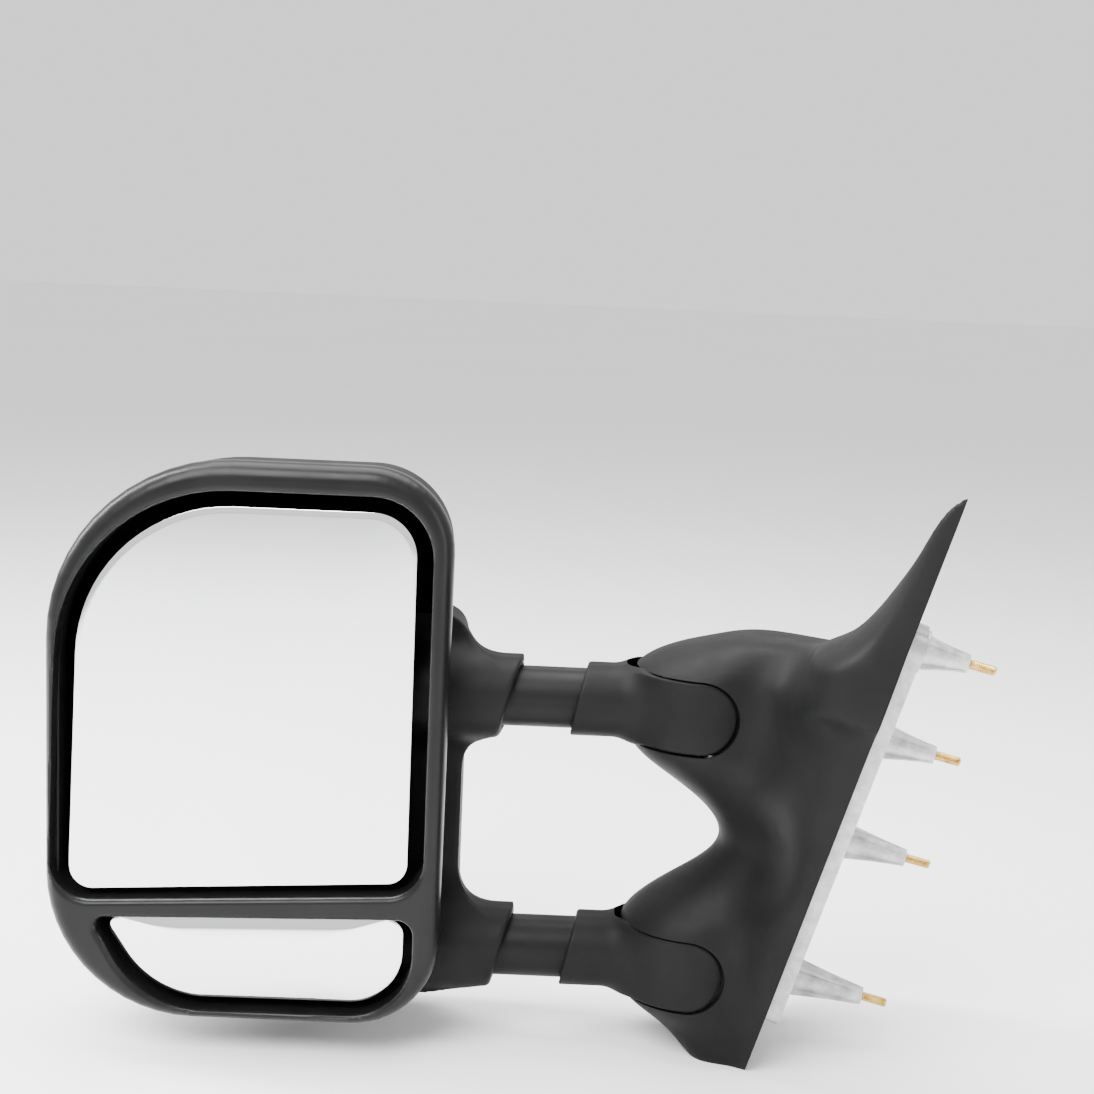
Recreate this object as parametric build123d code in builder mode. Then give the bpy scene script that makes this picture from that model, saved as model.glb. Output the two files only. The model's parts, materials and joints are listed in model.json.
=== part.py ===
from build123d import *
from math import cos, radians, sin
import os

# Left-hand telescoping towing mirror, millimetres. +X points at the vehicle, +Y forward, +Z up; the glass
# faces -Y. The origin is on the bracket's seating face against the door, midway between the two arms.

# ---- driving dimensions ----
YAW, TUMBLEHOME = 12.0, 15.6            # lean of the door's surface, degrees
ARM_Z = 80.0                            # height of each arm above or below the origin
PIVOT_X = -90.0                         # vertical fold axis, at y = 0
PIN_R, PIN_FIT = 7.0, 0.05
KNUCKLE_R, KNUCKLE_H, KNUCKLE_WALL = 45.5, 44.0, 3.0
SLOT_GAP = 1.0                          # gap between a knuckle and the base cover
REAR_SLOT_X, FRONT_SLOT_X = -75.0, -60.0
WALL = 2.5                              # moulded covers
TUBE_H, TUBE_D, TUBE_WALL = 36.0, 38.0, 2.5
SLEEVE_H, SLEEVE_D, SLEEVE_X = 44.0, 47.0, -168.0
COLLAR_H, COLLAR_D, COLLAR_X = 50.0, 52.0, -209.0
COLLAR_ROOT_X = -284.0                  # the collars reach this far into the head
BUSH_WALL, BUSH_FIT = 2.0, 0.3
HOUSING_IN, HOUSING_OUT = -258.0, -314.0
HOUSING_H, HOUSING_D = 45.0, 48.0       # inside the collars
TRAVEL = 95.0                           # telescope travel
TUBE_IN, TUBE_OUT = -118.0, HOUSING_OUT - TRAVEL - 7     # ends of the slide tubes
HEAD_X, HEAD_Z = -365.0, 54.5           # centre of the head
HEAD_W, HEAD_H = 240.0, 337.0
RIM_Y, SHELL_Y, DOME_Y = -60.0, -44.0, 47.0
GLASS_Y, GLASS_T, BACK_T = -49.5, 2.2, 2.5
BALL_Y, BALL_R, RING_R, CUP_R = -36.0, 7.0, 10.0, 13.0
BALL_FIT = 0.05
MAIN_BALL_Z, SPOT_BALL_X, SPOT_BALL_Z = 79.0, -357.0, -77.0
RECESS_Y = -30.0                        # depth of the bezel's recess walls
PLATE_Y, PLATE_T = -25.5, 3.5           # face of the head frame's plate nearest the glass, and thickness
CROSS_PIN, CROSS_PIN_R = 48.0, 3.0      # its distance from the fold axis
STUD_R, STUD_OUT = 3.0, 16.0            # M6 studs, and how far they stand out of their bosses
NECK_R, NECK = 2.4, 1.5                 # run-out groove between a stud's thread and its boss
SHANK_R, SHANK = 3.6, 14.0              # the stud's root, pressed into the boss
SCREW_R, SCREW_LEN, SCREW_FIT = 1.8, 12.0, 0.05

os.makedirs("parts", exist_ok=True)

ARMS = {"upper": ARM_Z, "lower": -ARM_Z}
INWARD = Vector(cos(radians(YAW)) * cos(radians(TUMBLEHOME)),
                -sin(radians(YAW)) * cos(radians(TUMBLEHOME)),
                -sin(radians(TUMBLEHOME)))
FORWARD = Vector(sin(radians(YAW)), cos(radians(YAW)), 0)
DOOR = Plane(origin=(0, 0, 0), x_dir=FORWARD, z_dir=INWARD)
COVER_EDGE = -9.0                       # the cover's edge stands this far off the door
HEAD_PLANE = Plane(origin=(HEAD_X, 0, HEAD_Z), x_dir=(1, 0, 0), z_dir=(0, -1, 0))


def save(builder, node):
    """Label a finished piece and write it."""
    builder.part.label = node
    export_step(builder.part, f"parts/{node}.step")


def across(y):
    """The plane square to Y at y, centred on the head, facing the driver."""
    return HEAD_PLANE.offset(-y)


def arm_section(x, z):
    """The plane square to an arm's tube at x."""
    return Plane(origin=(x, 0, z), x_dir=(0, 1, 0), z_dir=(1, 0, 0))


def door_x(y, z, stand_off=0.0):
    """X on the door's surface, or on a plane parallel to it."""
    return (stand_off - y * INWARD.Y - z * INWARD.Z) / INWARD.X


# ---- head outlines, drawn on planes across Y and centred on the head ----
def head_outline(inset, mode=Mode.ADD):
    """The head's outline: its outboard corners are rounder than its inboard ones."""
    w, h = HEAD_W / 2 - inset, HEAD_H / 2 - inset
    corners = [(-w + 4, -h), (w - 2, -h), (w, h), (-w + 3, h)]
    rounds = [88, 52, 50, 108]
    with BuildLine() as outline:
        FilletPolyline(*corners, radius=[max(r - 0.6 * inset, 12) for r in rounds], close=True)
    make_face(outline.edges(), mode=mode)


def main_outline(grow=0.0):
    """The main glass, or its opening when grown."""
    g = grow
    corners = [(-104 - g, -92.5 - g / 2), (98 + g, -81 - g / 2), (98 + g, 141.5 + g), (-98 - g, 141.5 + g)]
    with BuildLine() as outline:
        FilletPolyline(*corners, radius=[14 + g, 12 + g, 26 + g, 92 + g], close=True)
    make_face(outline.edges())


def spot_outline(grow=0.0):
    """The convex spotter glass, or its opening when grown."""
    g = grow
    top = 0.4 * g                       # the crossbar leaves less room above
    corners = [(-84 - g, -109 + top), (-52 - g, -157 - g), (97 + g, -156 - g), (97 + g, -103 + top)]
    with BuildLine() as outline:
        FilletPolyline(*corners, radius=[6, 56 + g, 32 + g, 10], close=True)
    make_face(outline.edges())


def oval(height, depth):
    """An arm's rounded section."""
    with BuildLine() as outline:
        FilletPolyline((-depth / 2, -height / 2), (depth / 2, -height / 2),
                       (depth / 2, height / 2), (-depth / 2, height / 2),
                       radius=height * 0.44, close=True)
    make_face(outline.edges())


# ---- head shell: an open box with a domed front, screwed to the frame's posts under the wing cover ----
POSTS, POST_R = [(0, -6), (48, -6), (0, -92), (48, -92)], 5.0
HOLE_R = SCREW_R + 0.4
DOME = [(SHELL_Y, 2.0), (-6.0, 2.5), (20.0, 6.0), (37.0, 20.0), (DOME_Y, 46.0)]
with BuildPart() as shell:
    for y, inset in DOME:
        with BuildSketch(across(y)):
            head_outline(inset)
    loft(ruled=True)
    for y, inset in DOME[:-1] + [(DOME_Y - WALL, 46.0)]:
        with BuildSketch(across(y)):
            head_outline(inset + WALL)
    loft(ruled=True, mode=Mode.SUBTRACT)
    for z in ARMS.values():
        with BuildSketch(arm_section(COLLAR_ROOT_X - 1, z)):
            oval(COLLAR_H + 1, COLLAR_D + 1)
        extrude(amount=HEAD_W, mode=Mode.SUBTRACT)
    with BuildSketch(across(DOME_Y - 2 * WALL)):
        with Locations(*POSTS):
            Circle(HOLE_R)
    extrude(amount=-4 * WALL, mode=Mode.SUBTRACT)
save(shell, "head_shell")

FRAME_HEAD_R, FRAME_HEAD = 3.6, 2.2
with BuildPart() as frame_screws:
    with BuildSketch(across(DOME_Y)):
        with Locations(*POSTS):
            Circle(SCREW_R)
    extrude(amount=SCREW_LEN - 1)
    with BuildSketch(across(DOME_Y)):
        with Locations(*POSTS):
            Circle(FRAME_HEAD_R)
    extrude(amount=-FRAME_HEAD)
save(frame_screws, "frame_screws")

# ---- bezel: a rounded ring with a crossbar between its two openings ----
BEZEL_LIP = 10.0
with BuildPart() as bezel:
    with BuildSketch(across(SHELL_Y)):
        head_outline(0)
    extrude(amount=SHELL_Y - RIM_Y)
    fillet(bezel.faces().sort_by(Axis.Y)[0].edges(), 6)
    with BuildSketch(across(SHELL_Y)):
        main_outline(BEZEL_LIP + 4)
        spot_outline(BEZEL_LIP)
        head_outline(5.5, mode=Mode.INTERSECT)
    extrude(amount=SHELL_Y - RECESS_Y)
    with BuildSketch(across(RIM_Y - 1)):
        main_outline(BEZEL_LIP)
        spot_outline(BEZEL_LIP - 4)
    extrude(amount=-40, mode=Mode.SUBTRACT)
save(bezel, "bezel")

# ---- wing cover on the inboard half of the head's front, with a collar round each tube ----
WING_LEFT, WING_TOP, WING_BOTTOM = -28.0, 74.0, -166.0
WING_Y, WING_GAP = 6.0, 0.3


def wing_outline(inset):
    w = HEAD_W / 2 + 6 - inset
    left, top, bottom = WING_LEFT + inset, WING_TOP - inset, WING_BOTTOM + inset
    with BuildLine() as outline:
        FilletPolyline((left, bottom), (w, bottom), (w, top), (left, top),
                       radius=[44, 24, 16, 70], close=True)
    make_face(outline.edges())


WING_DOME = [(WING_Y, 0.0), (24.0, 1.0), (40.0, 6.0), (50.0, 16.0), (DOME_Y + 7, 34.0)]
with BuildPart() as wing:
    for y, inset in WING_DOME:
        with BuildSketch(across(y)):
            wing_outline(inset)
    loft(ruled=True)
    for y, inset in WING_DOME[:-1] + [(WING_DOME[-1][0] - WALL, 34.0)]:
        with BuildSketch(across(y)):
            wing_outline(inset + WALL)
    loft(ruled=True, mode=Mode.SUBTRACT)
    for y, inset in [(SHELL_Y, 2.0)] + DOME[1:]:
        with BuildSketch(across(y)):
            head_outline(inset - WING_GAP)
    loft(ruled=True, mode=Mode.SUBTRACT)
    for z in ARMS.values():
        with BuildSketch(arm_section(COLLAR_ROOT_X, z)):
            oval(COLLAR_H, COLLAR_D)
        extrude(amount=COLLAR_X + 8 - COLLAR_ROOT_X)
        with BuildSketch(arm_section(COLLAR_ROOT_X - 1, z)):
            oval(HOUSING_H + 0.6, HOUSING_D + 0.6)
        extrude(amount=HOUSING_IN + 2 - COLLAR_ROOT_X, mode=Mode.SUBTRACT)
        with BuildSketch(arm_section(HOUSING_IN, z)):
            oval(TUBE_H + 3, TUBE_D + 3)
        extrude(amount=80, mode=Mode.SUBTRACT)
        # The collar's end is cut at a slant: its lower and rear sides reach less far inboard.
        slant = Plane(origin=(COLLAR_X, 0, z), x_dir=(0, 1, 0), z_dir=(1, -0.12, -0.26))
        with BuildSketch(slant):
            Rectangle(80, 80)
        extrude(amount=40, mode=Mode.SUBTRACT)
save(wing, "wing_cover")

# ---- head frame: a spine with two cross ribs, tube housings, ball posts and screw posts ----
BUSH_H, BUSH_D = TUBE_H + 2 * BUSH_WALL, TUBE_D + 2 * BUSH_WALL
BALLS = {"main": (HEAD_X, MAIN_BALL_Z), "spot": (SPOT_BALL_X, SPOT_BALL_Z)}
RIBS = [((16, -17), (76, 250)), ((0, 34), (150, 100)), ((12, -132), (126, 52))]
RIB_ROUND = 12
with BuildPart() as frame:
    with BuildSketch(across(PLATE_Y)):
        for centre, size in RIBS:
            with Locations(centre):
                RectangleRounded(*size, RIB_ROUND)
    extrude(amount=-PLATE_T)
    for x, z in POSTS:
        with BuildSketch(across(PLATE_Y)):
            with Locations((x, z)):
                Circle(POST_R)
        extrude(amount=-(DOME_Y - WALL - PLATE_Y))
        with BuildSketch(across(DOME_Y - SCREW_LEN)):
            with Locations((x, z)):
                Circle(SCREW_R + SCREW_FIT)
        extrude(amount=-SCREW_LEN, mode=Mode.SUBTRACT)
    for z in ARMS.values():
        with BuildSketch(arm_section(HOUSING_OUT, z)):
            oval(HOUSING_H, HOUSING_D)
        extrude(amount=HOUSING_IN - HOUSING_OUT)
        with BuildSketch(arm_section(HOUSING_OUT - 1, z)):
            oval(BUSH_H, BUSH_D)
        extrude(amount=HOUSING_IN - HOUSING_OUT + 2, mode=Mode.SUBTRACT)
    for x, z in BALLS.values():
        with BuildSketch(Plane(origin=(x, PLATE_Y, z), x_dir=(1, 0, 0), z_dir=(0, -1, 0))):
            Circle(3.4)
        extrude(amount=PLATE_Y - BALL_Y)
        with Locations((x, BALL_Y, z)):
            Sphere(BALL_R)
save(frame, "head_frame")

# ---- slide bushings: two to a tube, pressed into the housings ----
BUSH_LEN = 16.0
for arm, z in ARMS.items():
    with BuildPart() as bushes:
        for x in (HOUSING_IN - BUSH_LEN, HOUSING_OUT):
            with BuildSketch(arm_section(x, z)):
                oval(BUSH_H, BUSH_D)
            extrude(amount=BUSH_LEN)
            with BuildSketch(arm_section(x - 1, z)):
                oval(TUBE_H + 2 * BUSH_FIT, TUBE_D + 2 * BUSH_FIT)
            extrude(amount=BUSH_LEN + 2, mode=Mode.SUBTRACT)
    save(bushes, f"{arm}_slide_bushings")

# ---- friction clips: bent spring strips that press on each tube between its bushings ----
CLIP_T, CLIP_W, CLIP_X = 0.9, 6.4, -286.0
with BuildPart() as clips:
    for z in ARMS.values():
        top = z + BUSH_H / 2 - 0.1
        with BuildSketch(Plane(origin=(CLIP_X, 0, 0), x_dir=(1, 0, 0), z_dir=(0, -1, 0))):
            with BuildLine() as strip:
                Polyline((-11, top - CLIP_T), (-7, top - CLIP_T), (0, z + TUBE_H / 2 + 0.1), (7, top - CLIP_T),
                         (11, top - CLIP_T), (11, top), (6.6, top), (0, z + TUBE_H / 2 + 0.1 + CLIP_T),
                         (-6.6, top), (-11, top), close=True)
            make_face(strip.edges())
        extrude(amount=CLIP_W / 2, both=True)
save(clips, "friction_clips")

# ---- glasses: mirror, moulded backing with a ball cup, and a swivel ring between cup and post ----
GLASSES = {"main": (main_outline, *BALLS["main"]), "spotter": (spot_outline, *BALLS["spot"])}
for name, (outline_of, x, z) in GLASSES.items():
    with BuildPart() as glass:
        with BuildSketch(across(GLASS_Y)):
            outline_of()
        extrude(amount=-GLASS_T)
    save(glass, f"{name}_glass")

    with BuildPart() as backing:
        with BuildSketch(across(GLASS_Y + GLASS_T)):
            outline_of(-1.5)
        extrude(amount=-BACK_T)
        with Locations((x, BALL_Y, z)):
            Sphere(CUP_R)
        for y, side in ((GLASS_Y + GLASS_T, 1), (BALL_Y + 4, -1)):
            with BuildSketch(Plane(origin=(x, y, z), x_dir=(1, 0, 0), z_dir=(0, -1, 0))):
                Circle(CUP_R + 5)
            extrude(amount=side * 20, mode=Mode.SUBTRACT)
        with Locations((x, BALL_Y, z)):
            Sphere(RING_R + BALL_FIT / 2, mode=Mode.SUBTRACT)
    save(backing, f"{name}_glass_backing")

    with BuildPart() as ring:
        with Locations((x, BALL_Y, z)):
            Sphere(RING_R - BALL_FIT / 2)
            Sphere(BALL_R + BALL_FIT, mode=Mode.SUBTRACT)
        for y, side in ((BALL_Y - 6, 1), (BALL_Y + 2, -1)):
            with BuildSketch(Plane(origin=(x, y, z), x_dir=(1, 0, 0), z_dir=(0, -1, 0))):
                Circle(RING_R + 5)
            extrude(amount=side * 20, mode=Mode.SUBTRACT)
    save(ring, f"{name}_swivel_ring")

# ---- slide tubes with their end stops ----
for arm, z in ARMS.items():
    with BuildPart() as tube:
        with BuildSketch(arm_section(TUBE_OUT, z)):
            oval(TUBE_H, TUBE_D)
            with BuildSketch(mode=Mode.PRIVATE) as bore:
                oval(TUBE_H - 2 * TUBE_WALL, TUBE_D - 2 * TUBE_WALL)
            add(bore.sketch, mode=Mode.SUBTRACT)
        extrude(amount=TUBE_IN - TUBE_OUT)
        with BuildSketch(Plane(origin=(PIVOT_X - CROSS_PIN, 0, z - TUBE_H))):
            Circle(CROSS_PIN_R)
        extrude(amount=2 * TUBE_H, mode=Mode.SUBTRACT)
    save(tube, f"{arm}_slide_tube")

STOP_T, STOP_RIM = 4.0, 1.6
with BuildPart() as stops:
    for z in ARMS.values():
        with BuildSketch(arm_section(TUBE_OUT, z)):
            oval(TUBE_H + 2 * STOP_RIM, TUBE_D + 2 * STOP_RIM)
        extrude(amount=-STOP_T)
        with BuildSketch(arm_section(TUBE_OUT, z)):
            oval(TUBE_H - 2 * TUBE_WALL - 0.1, TUBE_D - 2 * TUBE_WALL - 0.1)
        extrude(amount=12)
save(stops, "tube_end_stops")


# ---- arm sleeves: a moulded cover over each tube's root, flaring into the drum-shaped knuckle ----
def slot_face(z, grow, end_x):
    half = KNUCKLE_H / 2 + grow
    left, right = PIVOT_X - 70, end_x + grow
    with BuildLine() as outline:
        Polyline((right - half, z + half), (left, z + half), (left, z - half), (right - half, z - half))
        ThreePointArc((right - half, z - half), (right, z), (right - half, z + half))
    make_face(outline.edges())


FACE_XZ = Plane(origin=(0, 0, 0), x_dir=(1, 0, 0), z_dir=(0, -1, 0))


def cut_slots(z, grow, depth):
    """Both halves of a slot as one solid: rear and front run to their own ends."""
    with BuildPart(mode=Mode.PRIVATE) as slot:
        with BuildSketch(FACE_XZ):
            slot_face(z, grow, REAR_SLOT_X)
        extrude(amount=depth)
        with BuildSketch(FACE_XZ):
            slot_face(z, grow, FRONT_SLOT_X)
        extrude(amount=-depth)
    return slot.part


for arm, z in ARMS.items():
    slot = cut_slots(z, 0.0, KNUCKLE_R + 5)
    with BuildPart() as sleeve:
        with BuildSketch(Plane(origin=(PIVOT_X, 0, z - KNUCKLE_H / 2))):
            Circle(KNUCKLE_R)
        extrude(amount=KNUCKLE_H)
        add(slot, mode=Mode.INTERSECT)
        with BuildSketch(arm_section(SLEEVE_X - 6, z)):
            oval(SLEEVE_H, SLEEVE_D)
        extrude(amount=PIVOT_X - 20 - SLEEVE_X)
        with BuildSketch(Plane(origin=(PIVOT_X, 0, z - KNUCKLE_H))):
            Circle(KNUCKLE_R - KNUCKLE_WALL)
        extrude(amount=2 * KNUCKLE_H, mode=Mode.SUBTRACT)
        with BuildSketch(arm_section(SLEEVE_X + 4, z)):
            oval(SLEEVE_H - 2 * WALL, SLEEVE_D - 2 * WALL)
        extrude(amount=60, mode=Mode.SUBTRACT)
        with BuildSketch(arm_section(SLEEVE_X - 10, z)):
            oval(TUBE_H + 0.2, TUBE_D + 0.2)
        extrude(amount=60, mode=Mode.SUBTRACT)
        slant = Plane(origin=(SLEEVE_X, 0, z), x_dir=(0, 1, 0), z_dir=(1, -0.10, -0.20))
        with BuildSketch(slant):
            Rectangle(80, 80)
        extrude(amount=-30, mode=Mode.SUBTRACT)
    save(sleeve, f"{arm}_arm_sleeve")

# ---- pivot hubs: each tube's metal root, turning on its pin, with a detent spring on top ----
HUB_R, HUB_H, SPRING_R, SPRING_WIRE = 18.0, 40.0, 11.5, 1.5
for arm, z in ARMS.items():
    with BuildPart() as hub:
        with BuildSketch(Plane(origin=(PIVOT_X, 0, z - HUB_H / 2))):
            Circle(HUB_R)
        extrude(amount=HUB_H)
        with BuildSketch(arm_section(PIVOT_X - 8, z)):
            oval(TUBE_H - 2 * TUBE_WALL - 0.1, TUBE_D - 2 * TUBE_WALL - 0.1)
        extrude(amount=-68)
        with BuildSketch(Plane(origin=(PIVOT_X, 0, z - HUB_H))):
            Circle(PIN_R + PIN_FIT)
        extrude(amount=2 * HUB_H, mode=Mode.SUBTRACT)
        with BuildSketch(Plane(origin=(PIVOT_X, 0, z + HUB_H / 2 - 18))):
            Circle(SPRING_R + SPRING_WIRE + 1)
        extrude(amount=30, mode=Mode.SUBTRACT)
        with BuildSketch(Plane(origin=(PIVOT_X - CROSS_PIN, 0, z - 40))):
            Circle(CROSS_PIN_R)
        extrude(amount=80, mode=Mode.SUBTRACT)
    save(hub, f"{arm}_pivot_hub")

    with BuildPart() as spring:
        with BuildLine() as coil:
            Helix(pitch=4.2, height=14.5, radius=SPRING_R, center=(PIVOT_X, 0, z + HUB_H / 2 - 16.4))
        with BuildSketch(Plane(origin=coil.line @ 0, z_dir=coil.line % 0)):
            Circle(SPRING_WIRE)
        sweep(is_frenet=True)
    save(spring, f"{arm}_fold_spring")

with BuildPart() as cross_pins:
    for z in ARMS.values():
        with BuildSketch(Plane(origin=(PIVOT_X - CROSS_PIN, 0, z - TUBE_H / 2))):
            Circle(CROSS_PIN_R - 0.02)
        extrude(amount=TUBE_H)
save(cross_pins, "tube_cross_pins")

# ---- mounting bracket: a plate on the door, two pairs of lugs, four bosses with studs ----
PLATE, RIM_T, RIM_W = 4.4, 8.8, 5.0     # the plate, and the rim that its edge is thickened to
LUG_Z, LUG_T, LUG_R = 22.9, 6.0, 14.0
LUG_SWEEP = {"upper": -50.0, "lower": 6.0}     # the lugs lean to stay inside the cover
STUD_DIR = Vector(0.970, -0.118, -0.213).normalized()
STUDS = [(-71.3, 133.3, 44.4), (-10.6, 64.5, 50.0), (20.3, -9.1, 58.0), (10.8, -96.8, 62.0)]
BOSS_ROOT_R, BOSS_TIP_R = 9.5, 5.5
PAD_RIM, PAD_T = 3.0, 3.0               # a low pad square to the door under each leaning boss
COVER_BOSSES = [(-98, 134), (38, 12), (-56, -30), (58, -84)]
COVER_HEAD_R, COVER_HEAD = 3.6, 2.0


def stud_plane(y, z):
    return Plane(origin=(door_x(y, z), y, z), z_dir=STUD_DIR)


def door_point(y, z):
    """A point of the door's surface in the door plane's own coordinates."""
    p = DOOR.to_local_coords(Vector(door_x(y, z), y, z))
    return (p.X, p.Y)


BRACKET_OUTLINE = [(-48, -108), (-92, 40), (-120, 148), (-82, 150), (-16, 98), (36, 40), (62, -25), (74, -80), (52, -104)]
with BuildPart() as bracket:
    for arm, z in ARMS.items():
        for low in (z + LUG_Z, z - LUG_Z - LUG_T):
            with BuildSketch(Plane(origin=(PIVOT_X, 0, low))):
                Circle(LUG_R)
                with BuildLine() as web:
                    Polyline((0, -LUG_R), (120, LUG_SWEEP[arm] - 20), (120, LUG_SWEEP[arm] + 16),
                             (0, LUG_R), close=True)
                make_face(web.edges())
            extrude(amount=LUG_T)
    with BuildSketch(DOOR.offset(-PLATE / 2)):
        Rectangle(500, 600)
    extrude(amount=200, mode=Mode.SUBTRACT)
    with BuildSketch(DOOR):
        with BuildLine() as rim:
            FilletPolyline(*[door_point(*p) for p in BRACKET_OUTLINE], radius=9, close=True)
        make_face(rim.edges())
    extrude(amount=-PLATE)
    with BuildSketch(DOOR):
        make_face(rim.edges())
        offset(amount=-RIM_W, kind=Kind.INTERSECTION, mode=Mode.SUBTRACT)
    extrude(amount=-RIM_T)
    for y, z, length in STUDS:
        with BuildSketch(DOOR):
            with Locations(door_point(y, z)):
                Circle(BOSS_ROOT_R + PAD_RIM)
        extrude(amount=PAD_T)
        with BuildSketch(stud_plane(y, z)):
            Circle(BOSS_ROOT_R)
        with BuildSketch(stud_plane(y, z).offset(length - STUD_OUT)):
            Circle(BOSS_TIP_R)
        loft()
        with BuildSketch(stud_plane(y, z).offset(length - STUD_OUT - SHANK)):
            Circle(SHANK_R)
        extrude(amount=SHANK + 1, mode=Mode.SUBTRACT)
    for z in ARMS.values():
        with BuildSketch(Plane(origin=(PIVOT_X, 0, z - HUB_H))):
            Circle(PIN_R + PIN_FIT)
        extrude(amount=2 * HUB_H, mode=Mode.SUBTRACT)
    for y, z in COVER_BOSSES:
        with BuildSketch(DOOR):
            with Locations(door_point(y, z)):
                Circle(HOLE_R)
        extrude(amount=-PLATE, mode=Mode.SUBTRACT)
        with BuildSketch(DOOR):
            with Locations(door_point(y, z)):
                Circle(COVER_HEAD_R + 0.3)
        extrude(amount=-COVER_HEAD - 0.3, mode=Mode.SUBTRACT)
save(bracket, "mount_bracket")

with BuildPart() as cover_screws:
    for y, z in COVER_BOSSES:
        for sunk, radius, length in ((0.3, COVER_HEAD_R, COVER_HEAD), (COVER_HEAD, SCREW_R, SCREW_LEN)):
            with BuildSketch(DOOR.offset(-sunk)):
                with Locations(door_point(y, z)):
                    Circle(radius)
            extrude(amount=-length)
save(cover_screws, "cover_screws")

with BuildPart() as studs:
    for y, z, length in STUDS:
        tip = length - STUD_OUT
        for start, end, radius in ((tip - SHANK, tip, SHANK_R), (tip, tip + NECK, NECK_R), (tip + NECK, length, STUD_R)):
            with BuildSketch(stud_plane(y, z).offset(start)):
                Circle(radius)
            extrude(amount=end - start)
save(studs, "mount_studs")

# ---- pivot pins, washers and nuts ----
PIN_LOW, PIN_HIGH, PIN_HEAD, NUT_H = -LUG_Z - LUG_T, LUG_Z + LUG_T + 5.5, 3.5, 5.0
for arm, z in ARMS.items():
    with BuildPart() as pin:
        with BuildSketch(Plane(origin=(PIVOT_X, 0, z + PIN_LOW))):
            Circle(PIN_R)
        extrude(amount=PIN_HIGH - PIN_LOW)
        with BuildSketch(Plane(origin=(PIVOT_X, 0, z + PIN_LOW - PIN_HEAD))):
            Circle(11)
        extrude(amount=PIN_HEAD)
    save(pin, f"{arm}_pivot_pin")

with BuildPart() as nuts:
    for z in ARMS.values():
        with BuildSketch(Plane(origin=(PIVOT_X, 0, z + LUG_Z + LUG_T))):
            RegularPolygon(11, 6)
            Circle(PIN_R + PIN_FIT, mode=Mode.SUBTRACT)
        extrude(amount=NUT_H)
save(nuts, "pivot_nuts")

with BuildPart() as washers:
    for z in ARMS.values():
        for low in (z + HUB_H / 2 + 0.1, z - LUG_Z):
            with BuildSketch(Plane(origin=(PIVOT_X, 0, low))):
                Circle(HUB_R - 1)
                Circle(PIN_R + PIN_FIT, mode=Mode.SUBTRACT)
            extrude(amount=LUG_Z - HUB_H / 2 - 0.1)
save(washers, "detent_washers")

# ---- base cover: horizontal sections, round-nosed over each knuckle, a thin sail above ----
LIP_R = KNUCKLE_R + SLOT_GAP + WALL
NOSE = PIVOT_X - LIP_R
BAND = KNUCKLE_H / 2 + 1.5
BODY = [  # height, front edge's y, nose's x and y, nose radius
    (-136, -10, -90, -30, 14), (-118, 52, -113, -4, 36), (-108, 70, -132, 0, 45),
    (-ARM_Z - BAND, 78, NOSE, 0, LIP_R), (-ARM_Z + BAND, 84, NOSE, 0, LIP_R),
    (-47, 82, -129, 0, 44), (-33, 76, -110, 0, 38), (-18, 70, -86, 0, 34), (-3, 64, -76, 0, 34),
    (12, 57, -83, 0, 34), (26, 51, -98, 0, 36), (38, 47, -115, 0, 40), (48, 42, -130, 0, 45),
    (ARM_Z - BAND, 37, NOSE, 0, LIP_R), (ARM_Z + BAND, 1, NOSE, 0, LIP_R),
    (111, -7, -126, 0, 45), (119, -16, -108, -2, 40), (125, -22, -80, -10, 34),
]
SAIL = [(130, -28, 50), (140, -40, 36), (158, -64, 25), (176, -90, 19), (198, -124, 14), (220, -150, 9),
        (238, -163, 4)]                 # height, front edge's y, thickness
REAR_ANGLE, FRONT_ANGLE = 110, 118      # where the nose's arc ends, from straight outboard


def rear_y(z):
    return -94 - 0.307 * z


def cavity_z(z):
    """Height of a section moved into the wall, away from the outside."""
    inward = -1 if (z > 100 or -60 < z < 4) else 1
    return z + inward * WALL


def draw_section(rear, nose, front, start, end):
    with BuildLine() as outline:
        Polyline(front, end, start, rear)
        ThreePointArc(rear, nose, front)
    make_face(outline.edges())


def cover_points(z, front_y, wall):
    """The two points where a section meets the door's side."""
    stand_off = COVER_EDGE + (12 if wall else 0)
    ya, ye = rear_y(z) + wall, front_y - wall
    return (door_x(ya, z, stand_off), ya), (door_x(ye, z, stand_off), ye)


def cover_sections(wall):
    """Height and the five points of each section, for the outside or, with a wall, for the cavity."""
    rows = []
    for z, front_y, nose_x, nose_y, radius in BODY:
        r = radius - wall
        cx = nose_x + radius
        rear, front = [(cx - r * cos(radians(a)), nose_y + s * r * sin(radians(a)))
                       for a, s in ((REAR_ANGLE, -1), (FRONT_ANGLE, 1))]
        height = cavity_z(z) if wall else z
        start, end = cover_points(height, front_y, wall)
        rows.append((height, (rear, (cx - r, nose_y), front, start, end)))
    for z, front_y, thick in SAIL[:-1] if wall else SAIL:
        height = z - wall
        start, end = cover_points(height, front_y, wall)
        t = thick - 1.2 * wall
        reach = 0.15 * (end[1] - start[1])
        rear, nose, front = [(door_x(y, height, COVER_EDGE) - part * t, y)
                             for y, part in ((start[1] + reach, 0.75), ((start[1] + end[1]) / 2, 1.0),
                                             (end[1] - reach, 0.75))]
        rows.append((height, (rear, nose, front, start, end)))
    return rows


with BuildPart() as cover_outside:
    for height, points in cover_sections(0):
        with BuildSketch(Plane.XY.offset(height)):
            draw_section(*points)
    loft(ruled=True)

with BuildPart() as cover_cavity:
    for height, points in cover_sections(WALL):
        with BuildSketch(Plane.XY.offset(height)):
            draw_section(*points)
    loft(ruled=True)

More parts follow.
